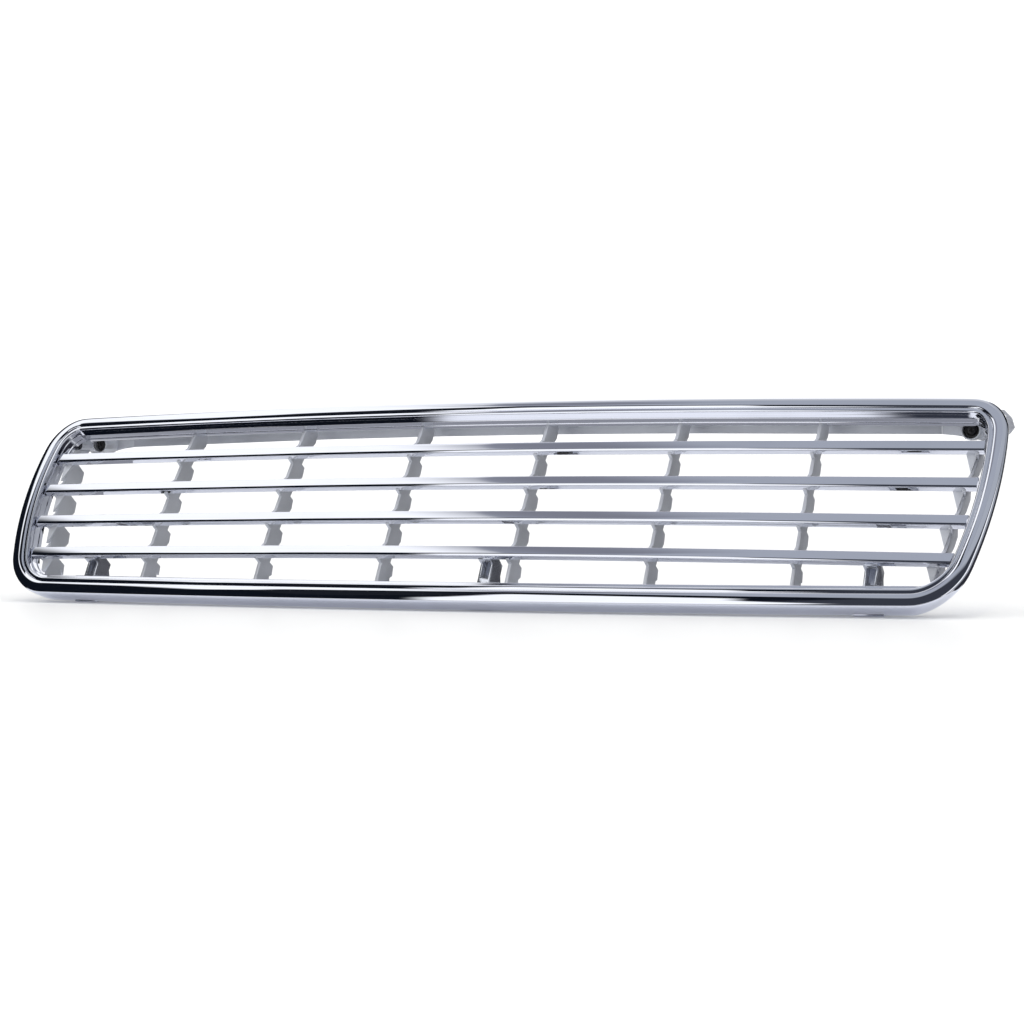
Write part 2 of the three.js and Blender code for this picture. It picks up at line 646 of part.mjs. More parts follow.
add('surround_frame', surroundGeometry, BRIGHT_CHROME);
for (const row of ROWS) add(`slat_${row}`, slat(row), BRIGHT_CHROME);
for (let number = 1; number <= RIB_COUNT; number++) add(`rib_${number}`, innerRib(number), SATIN_CHROME);
add('upper_rail', upperRail(), SATIN_CHROME);
add('lower_rail', lowerRail(), SATIN_CHROME);
UPPER_SCREWS.forEach((place, i) => add(`upper_rail_screw_${i + 1}`, railScrew(place), ZINC));
LOWER_SCREWS.forEach((place, i) => add(`lower_rail_screw_${i + 1}`, railScrew(place), ZINC));
for (const [side, x] of Object.entries(FOOT_CENTRES)) {
  add(`foot_${side}`, foot(x), SATIN_CHROME);
  add(`latch_${side}`, latch(x), BLACK_PLASTIC);
  add(`latch_pin_${side}`, pivotBar(x, PIN_RADIUS, LATCH_HALF_WIDTH + 3), SPRING_STEEL);
}
for (const [side, sign] of [['left', -1], ['right', 1]]) {
  add(`end_rib_${side}`, endRib(sign), SATIN_CHROME);
  add(`corner_bracket_${side}`, cornerBracket(sign), SATIN_CHROME);
  for (const tube of CORNER_TUBES) {
    add(`corner_screw_${side}_${tube.name}`, cornerScrew(sign, tube), ZINC);
    add(`corner_washer_${side}_${tube.name}`, cornerWasher(sign, tube), ZINC);
  }
}

const footprint = new THREE.Box3().setFromObject(grille);
grille.position.set(0, -(footprint.min.y + footprint.max.y) / 2, -footprint.min.z);

export default grille;
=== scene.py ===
import math

import bmesh
import bpy
from mathutils import Matrix, Vector


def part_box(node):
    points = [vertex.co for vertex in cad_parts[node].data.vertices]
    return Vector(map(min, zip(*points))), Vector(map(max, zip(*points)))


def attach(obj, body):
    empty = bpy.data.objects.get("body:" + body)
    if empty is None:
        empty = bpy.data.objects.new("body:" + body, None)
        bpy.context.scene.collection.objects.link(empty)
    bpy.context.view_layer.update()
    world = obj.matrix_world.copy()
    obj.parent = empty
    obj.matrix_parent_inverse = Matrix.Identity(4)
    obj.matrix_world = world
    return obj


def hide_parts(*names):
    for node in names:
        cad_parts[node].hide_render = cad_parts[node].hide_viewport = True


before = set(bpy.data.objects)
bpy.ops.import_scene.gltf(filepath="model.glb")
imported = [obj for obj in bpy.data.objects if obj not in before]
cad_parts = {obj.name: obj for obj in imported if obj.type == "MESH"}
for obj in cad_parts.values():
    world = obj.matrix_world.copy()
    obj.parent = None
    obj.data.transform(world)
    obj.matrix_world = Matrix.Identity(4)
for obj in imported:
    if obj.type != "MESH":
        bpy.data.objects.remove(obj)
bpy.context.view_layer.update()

MM = 0.001

# ---- The face and the outline, with the same dimensions as the solid model -------------------------

LEAN = 0.75
LEAN_GROWTH = 0.001265
BOW_SPAN = 400
BOW = 15.3
BOW_FLATTEN = 2.0
ARCH = 0.3

TOP_MIDDLE = 75.4
TOP_DROP = 1.8
TOP_CORNER_X = 388
BOTTOM_MIDDLE = -77.2
BOTTOM_RISE = 4
BOTTOM_CORNER_X = 362
SIDE_WIDEST = 417.6
SIDE_WIDEST_H = 37
SIDE_CURVE = 0.0021
SIDE_TOP_H = 46
SIDE_BOTTOM_H = -44
CORNER_PULL = 0.56

DRAW_ANGLE = math.radians(25)
FACE_PROUD = 5
EDGE_DEPTH = 22
SIDE_DEPTH = 10
INNER_DEPTH = 17.5
INNER_INSET = 16.5
LEDGE = 3.4
WALL = 2.2

SLAT_COUNT = 4
SLAT_SPACING = 26.1
SLAT_INSET = 16.6
SLAT_LEAN = math.radians(42)
SLAT_STATIONS = 140

BEVEL = 0.3              # rounding of the moulded edges of ribs, rails, feet and brackets
LATCH_BEVEL = 0.2

# Steps along each stretch of the outline, and rounds of easing where the stretches meet.
EDGE_STEPS = 60
TOP_CORNER_STEPS = 30
SIDE_STEPS = 24
BOTTOM_CORNER_STEPS = 36
EASING_ROUNDS = 6

# The floor, and the mat that reaches from before the grille to behind it. Millimetres, but for the spread.
FLOOR_SIZE = 30000
FLOOR_DROP = 0.3
MAT_FRONT = 9
MAT_BACK = 45
MAT_DROP = 0.2
MAT_SPREAD = 1.02

# The camera: millimetres from the middle of the face, and the directions of its right side and its back.
CAMERA_LENS = 73.106
CAMERA_SENSOR = 36
CAMERA_PLACE = (680.4, -1468.3, 45.9)
CAMERA_RIGHT = (0.9186, 0.3948, -0.0163)
CAMERA_BACK = (0.3951, -0.9180, 0.0349)


def face_y(h):
    return LEAN * h + LEAN_GROWTH * h * h


def face_lean(h):
    return math.atan(LEAN + 2 * LEAN_GROWTH * h)


def bow(x):
    return BOW * (x / BOW_SPAN) ** 2 - BOW_FLATTEN * (x / BOW_SPAN) ** 4


def behind_face(x, h, back):
    return Vector((x, face_y(h) + bow(x) + back, h - ARCH * bow(x)))


def drawn_back(x, h, depth):
    point = behind_face(x, h, depth * math.cos(DRAW_ANGLE))
    point.z -= depth * math.sin(DRAW_ANGLE)
    return point


def top_edge(x):
    return TOP_MIDDLE - TOP_DROP * (x / TOP_CORNER_X) ** 2


def bottom_edge(x):
    return BOTTOM_MIDDLE + BOTTOM_RISE * (x / BOTTOM_CORNER_X) ** 2


def side_edge(h):
    return SIDE_WIDEST - SIDE_CURVE * (h - SIDE_WIDEST_H) ** 2


def bezier(a, b, c, d, t):
    s = 1 - t
    return a * s ** 3 + b * 3 * s * s * t + c * 3 * s * t * t + d * t ** 3


def corner(start, end, square, count):
    """A rounded corner that bulges towards the square corner between its ends."""
    pull_a, pull_b = start.lerp(square, CORNER_PULL), end.lerp(square, CORNER_PULL)
    return [bezier(start, pull_a, pull_b, end, i / count) for i in range(count)]


def half_outline():
    """The right half of the outline, from the middle of the top to the middle of the bottom."""
    top = Vector((TOP_CORNER_X, top_edge(TOP_CORNER_X)))
    side_top = Vector((side_edge(SIDE_TOP_H), SIDE_TOP_H))
    side_bottom = Vector((side_edge(SIDE_BOTTOM_H), SIDE_BOTTOM_H))
    bottom = Vector((BOTTOM_CORNER_X, bottom_edge(BOTTOM_CORNER_X)))
    run = (side_bottom.y - bottom.y) * 2 * SIDE_CURVE * (SIDE_WIDEST_H - SIDE_BOTTOM_H)
    square_bottom = Vector((side_bottom.x - run, bottom.y))
    top_xs = [TOP_CORNER_X * i / EDGE_STEPS for i in range(EDGE_STEPS)]
    points = [Vector((x, top_edge(x))) for x in top_xs]
    points += corner(top, side_top, Vector((side_top.x, top.y)), TOP_CORNER_STEPS)
    rise = SIDE_TOP_H - SIDE_BOTTOM_H
    heights = [SIDE_TOP_H - rise * i / SIDE_STEPS for i in range(SIDE_STEPS)]
    points += [Vector((side_edge(h), h)) for h in heights]
    points += corner(side_bottom, bottom, square_bottom, BOTTOM_CORNER_STEPS)
    bottom_xs = [BOTTOM_CORNER_X * i / EDGE_STEPS for i in range(EDGE_STEPS, -1, -1)]
    points += [Vector((x, bottom_edge(x))) for x in bottom_xs]
    return points


def stations():
    """Stations round the outline: place on the face, and the direction that points inwards."""
    half = half_outline()
    loop = half + [Vector((-p.x, p.y)) for p in reversed(half[1:-1])]
    for _ in range(EASING_ROUNDS):
        loop = [(loop[i - 1] + loop[i] * 2 + loop[(i + 1) % len(loop)]) / 4 for i in range(len(loop))]
    result = []
    for i, point in enumerate(loop):
        before, after = loop[i - 1], loop[(i + 1) % len(loop)]
        cos_lean = math.cos(face_lean(point.y))
        along = Vector((after.x - before.x, (after.y - before.y) / cos_lean)).normalized()
        result.append((point.x, point.y, along.y, -along.x * cos_lean))
    return result


OUTLINE = stations()


def reach(h, inset):
    """How far from the middle the surround reaches at a height, at an inset from its outline."""
    half = [(x + in_x * inset, y + in_h * inset) for x, y, in_x, in_h in OUTLINE if x > SIDE_WIDEST / 2]
    for (x0, h0), (x1, h1) in zip(half, half[1:]):
        if h0 >= h > h1:
            return x0 + (x1 - x0) * (h0 - h) / (h0 - h1)
    raise ValueError(f"no side wall at height {h}")


# ---- Mesh helpers ----------------------------------------------------------------------------------


def rounded(points, steps=6):
    """A closed outline of (a, b, reach) with each corner eased over its reach on both sides."""
    result = []
    for i, (a, b, ease) in enumerate(points):
        here = Vector((a, b))
        before, after = Vector(points[i - 1][:2]), Vector(points[(i + 1) % len(points)][:2])
        into, out = here - before, after - here
        start = here - into.normalized() * min(ease, into.length * 0.49)
        end = here + out.normalized() * min(ease, out.length * 0.49)
        for k in range(steps + 1):
            t = k / steps
            result.append(start * (1 - t) ** 2 + here * 2 * t * (1 - t) + end * t * t)
    return result


def new_object(name, vertices, faces, smooth_angle=40):
    mesh = bpy.data.meshes.new(name)
    mesh.from_pydata([v * MM for v in vertices], [], faces)
    mesh.update()
    return finish_mesh(name, mesh, smooth_angle)


def finish_mesh(name, mesh, smooth_angle):
    """Makes normals point outwards, shades smooth with sharp edges kept, and links the object."""
    shape = bmesh.new()
    shape.from_mesh(mesh)
    bmesh.ops.recalc_face_normals(shape, faces=shape.faces)
    for face in shape.faces:
        face.smooth = True
    for edge in shape.edges:
        edge.smooth = len(edge.link_faces) == 2 and edge.calc_face_angle() < math.radians(smooth_angle)
    shape.to_mesh(mesh)
    shape.free()
    obj = bpy.data.objects.new(name, mesh)
    bpy.context.scene.collection.objects.link(obj)
    return obj


def skin(sections, ring):
    """Faces between matching closed sections. An open row gets its two ends closed."""
    count = len(sections[0])
    faces = []
    for s in range(len(sections) if ring else len(sections) - 1):
        here, there = s * count, ((s + 1) % len(sections)) * count
        for i in range(count):
            j = (i + 1) % count
            faces.append((here + i, here + j, there + j, there + i))
    if not ring:
        faces.append(tuple(range(count)))
        faces.append(tuple(range(len(sections) * count - 1, (len(sections) - 1) * count - 1, -1)))
    return [v for section in sections for v in section], faces


def place(piece, slot, *nodes, body="grille", finish=None):
    piece.data.materials.clear()
    piece.data.materials.append(finish or MATERIALS[slot])
    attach(piece, body)
    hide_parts(*nodes)


# ---- Materials -------------------------------------------------------------------------------------


class Nodes:
    """A node tree with short calls for the nodes used here."""

    def __init__(self, tree):
        self.tree = tree

    def node(self, kind, **settings):
        made = self.tree.nodes.new(kind)
        for key, value in settings.items():
            setattr(made, key, value)
        return made

    def link(self, output, socket):
        self.tree.links.new(output, socket)

    def remap(self, value, low, high, to_low, to_high, kind="LINEAR"):
        node = self.node("ShaderNodeMapRange", interpolation_type=kind)
        for key, number in zip(("From Min", "From Max", "To Min", "To Max"), (low, high, to_low, to_high)):
            node.inputs[key].default_value = number
        self.link(value, node.inputs["Value"])
        return node.outputs["Result"]

    def math(self, operation, *values):
        node = self.node("ShaderNodeMath", operation=operation)
        for socket, value in zip(node.inputs, values):
            if isinstance(value, (int, float)):
                socket.default_value = value
            else:
                self.link(value, socket)
        return node.outputs["Value"]

    def blend(self, factor, low, high):
        """Mixes two colours. The first may be a colour or another node's output."""
        node = self.node("ShaderNodeMix", data_type="RGBA")
        if isinstance(low, tuple):
            node.inputs["A"].default_value = (*low, 1)
        else:
            self.link(low, node.inputs["A"])
        node.inputs["B"].default_value = (*high, 1)
        self.link(factor, node.inputs["Factor"])
        return node.outputs["Result"]


class Shader(Nodes):
    """A material's node tree, with textures that stay fixed to the object."""

    def __init__(self, name):
        self.material = bpy.data.materials.new(name)
        self.material.use_nodes = True
        super().__init__(self.material.node_tree)
        self.surface = self.tree.nodes["Principled BSDF"]
        self.place = self.node("ShaderNodeTexCoord").outputs["Object"]

    def noise(self, scale, detail=2.0, stretch=(1, 1, 1), roughness=0.5):
        mapping = self.node("ShaderNodeMapping")
        mapping.inputs["Scale"].default_value = stretch
        self.link(self.place, mapping.inputs["Vector"])
        texture = self.node("ShaderNodeTexNoise")
        texture.inputs["Scale"].default_value = scale
        texture.inputs["Detail"].default_value = detail
        texture.inputs["Roughness"].default_value = roughness
        self.link(mapping.outputs["Vector"], texture.inputs["Vector"])
        return texture.outputs["Fac"]

    def bump(self, height, strength, distance, under=None):
        node = self.node("ShaderNodeBump")
        node.inputs["Strength"].default_value = strength
        node.inputs["Distance"].default_value = distance
        self.link(height, node.inputs["Height"])
        if under is not None:
            self.link(under, node.inputs["Normal"])
        return node.outputs["Normal"]

    def colour(self, factor, low, high):
        self.link(self.blend(factor, low, high), self.surface.inputs["Base Color"])

    def roughness(self, texture, low, high, smooth, rough):
        self.link(self.remap(texture, low, high, smooth, rough), self.surface.inputs["Roughness"])

    def set(self, **values):
        for key, value in values.items():
            self.surface.inputs[key.replace("_", " ")].default_value = value


def bright_chrome():
    """Mirror plating: faint ripple from the moulding, a veil of dust, and fine wiping marks."""
    shader = Shader("bright_chrome")
    shader.set(Metallic=1.0, IOR=2.0)
    veil = shader.remap(shader.noise(14, 5), 0.45, 0.75, 0, 1)
    shader.colour(veil, (0.80, 0.81, 0.86), (0.76, 0.77, 0.82))
    shader.roughness(shader.noise(60, 4), 0.35, 0.75, 0.012, 0.04)
    ripple = shader.bump(shader.noise(38, 1), 0.03, 0.0004)
    wiping = shader.bump(shader.noise(900, 1, stretch=(0.12, 1, 1)), 0.012, 0.00004, ripple)
    shader.link(wiping, shader.surface.inputs["Normal"])
    return shader.material


def satin_chrome():
    """The thin plating of the rear mouldings: duller, with flow marks and a slightly pebbled skin."""
    shader = Shader("satin_chrome")
    shader.set(Metallic=0.6)
    patches = shader.remap(shader.noise(22, 5, roughness=0.6), 0.3, 0.7, 0, 1)
    shader.colour(patches, (0.66, 0.68, 0.73), (0.75, 0.77, 0.82))
    shader.roughness(shader.noise(45, 4), 0.3, 0.7, 0.34, 0.48)
    flow = shader.bump(shader.noise(70, 3, stretch=(1, 0.4, 1)), 0.12, 0.0003)
    pebble = shader.bump(shader.noise(1400, 2), 0.08, 0.00005, flow)
    shader.link(pebble, shader.surface.inputs["Normal"])
    return shader.material


def half_bright_chrome():
    """The feet's plating: smoother than the ribs', so that their windows mirror the dark room."""
    shader = Shader("half_bright_chrome")
    shader.set(Metallic=0.82)
    patches = shader.remap(shader.noise(22, 5, roughness=0.6), 0.3, 0.7, 0, 1)
    shader.colour(patches, (0.62, 0.64, 0.70), (0.70, 0.72, 0.77))
    shader.roughness(shader.noise(45, 4), 0.3, 0.7, 0.10, 0.18)
    return shader.material


def black_plastic():
    shader = Shader("black_plastic")
    shader.set(Specular_IOR_Level=0.45)
    shade = shader.remap(shader.noise(30, 4), 0.3, 0.7, 0, 1)
    shader.colour(shade, (0.012, 0.012, 0.014), (0.03, 0.03, 0.033))
    shader.roughness(shader.noise(120, 3), 0.3, 0.7, 0.42, 0.6)
    shader.link(shader.bump(shader.noise(2200, 2), 0.35, 0.00008), shader.surface.inputs["Normal"])
    return shader.material


def spring_steel():
    shader = Shader("spring_steel")
    shader.set(Metallic=1.0)
    tint = shader.remap(shader.noise(160, 4), 0.3, 0.7, 0, 1)
    shader.colour(tint, (0.24, 0.25, 0.27), (0.38, 0.38, 0.39))
    shader.roughness(shader.noise(300, 3), 0.3, 0.7, 0.22, 0.38)
    drawn = shader.bump(shader.noise(1500, 2, stretch=(0.05, 1, 1)), 0.2, 0.00005)
    shader.link(drawn, shader.surface.inputs["Normal"])
    return shader.material


def painted_shade_zinc():
    """The corner screws and washers: zinc coloured near black as painted shade, which leaves the tubes dark.
    """
    shader = Shader("painted_shade_zinc")
    shader.set(Metallic=0.8)
    patches = shader.remap(shader.noise(180, 4), 0.35, 0.65, 0, 1)
    # Near-black colours with random patches: painted shade for the hollows of the corner tubes.
    shader.colour(patches, (0.03, 0.03, 0.034), (0.06, 0.058, 0.055))
    shader.roughness(shader.noise(500, 3), 0.3, 0.7, 0.3, 0.45)
    return shader.material


def zinc():
    """Bright zinc plating: patches from bluish to faintly straw-coloured, and turning marks."""
    shader = Shader("zinc")
    shader.set(Metallic=1.0)
    patches = shader.remap(shader.noise(180, 4), 0.35, 0.65, 0, 1)
    shader.colour(patches, (0.58, 0.61, 0.66), (0.66, 0.64, 0.56))
    shader.roughness(shader.noise(500, 3), 0.3, 0.7, 0.18, 0.36)
    shader.link(shader.bump(shader.noise(1800, 2), 0.15, 0.00005), shader.surface.inputs["Normal"])
    return shader.material


MATERIALS = {
    "bright_chrome": bright_chrome(),
    "satin_chrome": satin_chrome(),
    "black_plastic": black_plastic(),
    "spring_steel": spring_steel(),
    "zinc": zinc(),
}

# Finishes that differ from the one of their pieces' slot.
# Corner screws and washers coloured near black: painted shade in the corner tubes.
PAINTED_SHADE_ZINC = painted_shade_zinc()
HALF_BRIGHT = half_bright_chrome()

# ---- Surround --------------------------------------------------------------------------------------


def surround_section(in_x):
    """Inset, depth and corner easing round the moulding, where the outline faces in_x sideways."""
    ledge = LEDGE * (1 - abs(in_x))
    depth = EDGE_DEPTH + (SIDE_DEPTH - EDGE_DEPTH) * abs(in_x)
    inner = INNER_INSET + ledge
    return [
        (1.4, depth, 0.4), (0.2, depth * 0.55, 5.0), (0.0, 0.0, 5.0), (7.8, 0.1, 2.5), (10.3, 0.75, 0.7),
        (10.8, 1.6, 0.2), (11.3, 1.0, 0.35), (14.8, 1.0, 1.8), (15.0, 6.4, 0.3), (15.4 + ledge, 6.9, 0.5),
        (15.6 + ledge, 13.0, 0.25), (16.3 + ledge, 13.7, 0.25), (inner, INNER_DEPTH, 0.3),
        (inner - WALL, INNER_DEPTH, 0.3), (14 + ledge, 15.2, 0.3), (13.4 + ledge, 14.6, 0.3),
        (13.2 + ledge, 8.8, 0.5), (12.7, 8.2, 0.5), (12.4, 3.9, 1.0), (5.4, WALL, 1.5), (3.2, 3.0, 1.0),
        (WALL + 0.1, 5.5, 1.5), (WALL + 0.5, depth, 0.3),
    ]


def surround_rings():
    rings = []
    for x, h, in_x, in_h in OUTLINE:
        outline = rounded(surround_section(in_x))
        rings.append([drawn_back(x + in_x * p.x, h + in_h * p.x, p.y - FACE_PROUD) for p in outline])
    return rings


def shift_to_cad(rings):
    """Where the middle of the face lies in the row frame, from the CAD surround's lowest front corner."""
    low = Vector(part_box("surround_frame")[0]) / MM
    points = [p for ring in rings for p in ring]
    return Vector((0, low.y - min(p.y for p in points), low.z - min(p.z for p in points)))


RINGS = surround_rings()
FACE_MIDDLE = shift_to_cad(RINGS)


def build_surround():
    vertices, faces = skin([[p + FACE_MIDDLE for p in ring] for ring in RINGS], True)
    place(new_object("chrome_surround", vertices, faces, 50), "bright_chrome", "surround_frame")


# ---- Slats -----------------------------------------------------------------------------------------

# A slat's section: distance inwards from the face, distance up the face, and corner easing.
SLAT_SECTION = [
    (6.9, 1.6, 0.4), (1.6, 6.2, 0.6), (0.08, 5.9, 0.4), (0.0, 1.5, 2.5), (0.1, -2.9, 1.8), (5.6, -3.0, 0.5),
]


def build_slat(row):
    middle = ((SLAT_COUNT + 1) / 2 - row) * SLAT_SPACING
    section = rounded(SLAT_SECTION, 8)
    ends = [reach(middle + p.y * math.cos(SLAT_LEAN), SLAT_INSET) for p in section]
    rows = []
    for s in range(SLAT_STATIONS + 1):
        share = s / SLAT_STATIONS * 2 - 1
        points = []
        for p, end in zip(section, ends):
            point = behind_face(end * share, middle, 0) + FACE_MIDDLE
            point.y += p.x * math.cos(SLAT_LEAN) + p.y * math.sin(SLAT_LEAN)
            point.z += p.y * math.cos(SLAT_LEAN) - p.x * math.sin(SLAT_LEAN)
            points.append(point)
        rows.append(points)
    vertices, faces = skin(rows, False)
    place(new_object(f"chrome_slat_{row}", vertices, faces, 50), "bright_chrome", f"slat_{row}")


# ---- Rear mouldings --------------------------------------------------------------------------------


def build_moulding(node, slot, body="grille", edge=BEVEL, sharp=24, finish=None):
    """A copy of a CAD moulding with its long triangles merged and its edges rounded."""
    shape = bmesh.new()
    shape.from_mesh(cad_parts[node].data)
    bmesh.ops.remove_doubles(shape, verts=shape.verts, dist=2e-6)
    bmesh.ops.dissolve_limit(shape, angle_limit=math.radians(0.8), verts=shape.verts, edges=shape.edges)
    edges = [e for e in shape.edges if len(e.link_faces) == 2 and e.calc_face_angle() > math.radians(sharp)]
    bmesh.ops.bevel(shape, geom=edges, offset=edge * MM, offset_type="OFFSET", segments=2, profile=0.6,
                    affect="EDGES", clamp_overlap=True)
    bmesh.ops.triangulate(shape, faces=[f for f in shape.faces if len(f.verts) > 4])
    mesh = bpy.data.meshes.new(f"{node}_moulded")
    shape.to_mesh(mesh)
    shape.free()
    piece = finish_mesh(f"{node}_moulded", mesh, 35)
    place(piece, slot, node, body=body, finish=finish)


def build_mouldings():
    for number in range(1, 7):
        build_moulding(f"rib_{number}", "satin_chrome")
    for node in ("end_rib_left", "end_rib_right", "upper_rail", "lower_rail", "corner_bracket_left",
                 "corner_bracket_right"):
        build_moulding(node, "satin_chrome")
    for side in ("left", "centre", "right"):
        build_moulding(f"foot_{side}", "satin_chrome", finish=HALF_BRIGHT)
        build_moulding(f"latch_{side}", "black_plastic", body=f"{side}_latch", edge=LATCH_BEVEL)


# ---- Screws, washers and pins ----------------------------------------------------------------------


def turned(name, profile, centre, sides=40):
    """A solid turned about an axis along y, from (radius, y) points in millimetres from the centre."""
    vertices, faces = [], []
    for radius, along in profile:
        for k in range(sides):
            turn = 2 * math.pi * k / sides
            vertices.append(centre + Vector((radius * math.cos(turn), along, radius * math.sin(turn))))
    for s in range(len(profile) - 1):
        for k in range(sides):
            j = (k + 1) % sides
            faces.append((s * sides + k, s * sides + j, (s + 1) * sides + j, (s + 1) * sides + k))
    last = (len(profile) - 1) * sides
    faces.append(tuple(range(sides)))
    faces.append(tuple(last + k for k in reversed(range(sides))))
    return new_object(name, vertices, faces, 32)


def node_span(node):
    """A node's middle in x and z with its front in y, its depth and its radius, in millimetres."""
    low, high = (Vector(corner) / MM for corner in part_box(node))
    centre = Vector(((low.x + high.x) / 2, low.y, (low.z + high.z) / 2))
    return centre, high.y - low.y, (high.x - low.x) / 2


def cut_cross(piece, centre, at_y, inwards, size):
    """Cuts a cross recess into a screw's head."""
    cutter = bmesh.new()
    for wide, high in ((size, size * 0.24), (size * 0.24, size)):
        made = bmesh.ops.create_cube(cutter, size=1.0)["verts"]
        for vertex in made:
            deep = vertex.co.y * inwards > 0
            narrow = 0.45 if deep else 1.0
            vertex.co = Vector((vertex.co.x * wide * narrow, vertex.co.y * 2.4, vertex.co.z * high * narrow))
            vertex.co = (vertex.co + centre + Vector((0, at_y, 0))) * MM
    mesh = bpy.data.meshes.new("cross_cutter")
    cutter.to_mesh(mesh)
    cutter.free()
    tool = bpy.data.objects.new("cross_cutter", mesh)
    bpy.context.scene.collection.objects.link(tool)
    boolean = piece.modifiers.new("cross", "BOOLEAN")
    boolean.operation = "DIFFERENCE"
    boolean.object = tool
    boolean.solver = "EXACT"
    boolean.use_self = True
    depsgraph = bpy.context.evaluated_depsgraph_get()
    cut = bpy.data.meshes.new_from_object(piece.evaluated_get(depsgraph))
    piece.modifiers.clear()
    piece.data = cut
    bpy.data.objects.remove(tool)


def thread(start, end, root, crest, pitch=1.1):
    """Profile points of a thread's ridges between two places on the axis."""
    points = []
    y = start
    while y + pitch <= end:
        points += [(root, y), (root, y + pitch * 0.35), (crest, y + pitch * 0.5), (root, y + pitch * 0.65)]
        y += pitch
    return points + [(root, end)]


def build_rail_screw(node):
    centre, length, radius = node_span(node)
    under = length - 2.3
    profile = [(0.35, 0.0), (0.9, 1.2), *thread(1.4, under - 0.4, 1.05, 1.35)]
    profile += [(1.3, under), (radius - 0.25, under), (radius, under + 0.25), (radius, under + 0.75)]
    for k in range(1, 7):
        turn = math.pi / 2 * k / 6
        profile.append((radius * (1 - 0.5 * (1 - math.cos(turn))), under + 0.75 + 1.5 * math.sin(turn)))
    piece = turned(f"{node}_turned", profile, centre)
    cut_cross(piece, centre, length, -1, radius * 1.15)
    place(piece, "zinc", node)


def build_corner_screw(node):
    centre, length, radius = node_span(node)
    profile = []
    for k in range(6, 0, -1):
        turn = math.pi / 2 * k / 6
        profile.append((radius * (1 - 0.45 * (1 - math.cos(turn))), 1.6 * (1 - math.sin(turn))))
    profile += [(radius, 1.7), (radius, 2.25), (radius - 0.15, 2.4), (1.85, 2.4)]
    profile += thread(3.2, length - 3.2, 1.5, 1.9) + [(0.5, length - 0.1)]
    piece = turned(f"{node}_turned", profile, centre)
    cut_cross(piece, centre, 0, 1, radius * 1.1)
    # Coloured near black as painted shade in the corner tube.
    place(piece, "zinc", node, finish=PAINTED_SHADE_ZINC)


def build_washer(node):
    centre, length, radius = node_span(node)
    bore = 2.3
    profile = [(bore + 0.1, 0), (radius - 0.15, 0), (radius, 0.15), (radius, length - 0.15),
               (radius - 0.15, length), (bore + 0.1, length), (bore, length - 0.1), (bore, 0.1)]
    sides = 40
    turns = [2 * math.pi * k / sides for k in range(sides)]
    vertices = [centre + Vector((r * math.cos(turn), y, r * math.sin(turn)))
                for r, y in profile for turn in turns]
    count = len(profile)
    faces = [(s * sides + k, s * sides + (k + 1) % sides, (s + 1) % count * sides + (k + 1) % sides,
              (s + 1) % count * sides + k) for s in range(count) for k in range(sides)]
    # Coloured near black as painted shade in the corner tube.
    place(new_object(f"{node}_turned", vertices, faces, 32), "zinc", node, finish=PAINTED_SHADE_ZINC)


def build_pin(node):
    low, high = (Vector(corner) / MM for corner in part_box(node))
    radius, length = (high.z - low.z) / 2, high.x - low.x
    profile = [(radius - 0.25, 0), (radius, 0.25), (radius, length - 0.25), (radius - 0.25, length)]
    piece = turned(f"{node}_turned", profile, Vector((0, 0, 0)), 24)
    turn = Matrix.Rotation(-math.pi / 2, 4, "Z")
    start = Vector((low.x, (low.y + high.y) / 2, (low.z + high.z) / 2)) * MM
    piece.data.transform(Matrix.Translation(start) @ turn)
    place(piece, "spring_steel", node)


def build_hardware():
    for number in range(1, 7):
        build_rail_screw(f"upper_rail_screw_{number}")
    for number in range(1, 10):
        build_rail_screw(f"lower_rail_screw_{number}")
    for side in ("left", "right"):
        for tube in ("outer", "inner"):
            build_corner_screw(f"corner_screw_{side}_{tube}")
            build_washer(f"corner_washer_{side}_{tube}")
    for side in ("left", "centre", "right"):
        build_pin(f"latch_pin_{side}")


# ---- Floor, light and camera -----------------------------------------------------------------------


def build_floor():
    size = FLOOR_SIZE * MM
    mesh = bpy.data.meshes.new("floor")
    corners = [(-size, -size, 0), (size, -size, 0), (size, size, 0), (-size, size, 0)]
    mesh.from_pydata(corners, [], [(0, 1, 2, 3)])
    floor = bpy.data.objects.new("floor", mesh)
    floor.location.z = -FLOOR_DROP * MM
    bpy.context.scene.collection.objects.link(floor)
    shader = Shader("pale_floor")
    shader.set(Base_Color=(0.92, 0.92, 0.915, 1), Roughness=0.42, Specular_IOR_Level=0.25)
    mesh.materials.append(shader.material)
    floor.visible_glossy = False


def build_mat():
    """A pale, faintly glowing mat that only mirrored light meets: the plating mirrors it, not the floor."""
    low = [(x, h) for x, h, _, in_h in OUTLINE if in_h > 0.5]
    front = [behind_face(x, h, 0) + FACE_MIDDLE for x, h in sorted(low)]
    vertices = [Vector((p.x * MAT_SPREAD, p.y - MAT_FRONT, -MAT_DROP)) for p in front]
    vertices += [Vector((p.x * MAT_SPREAD, MAT_BACK, -MAT_DROP)) for p in front]
    count = len(front)
    faces = [(i, i + 1, count + i + 1, count + i) for i in range(count - 1)]
    mat = new_object("mat", vertices, faces)
    shader = Shader("pale_mat")
    shader.set(Base_Color=(0.78, 0.80, 0.86, 1), Roughness=1.0, Specular_IOR_Level=0.0)
    shader.set(Emission_Color=(0.92, 0.94, 1.0, 1), Emission_Strength=0.12)
    mat.data.materials.append(shader.material)
    mat.visible_camera = False
    mat.visible_diffuse = False
    mat.visible_shadow = False
    mat.visible_transmission = False


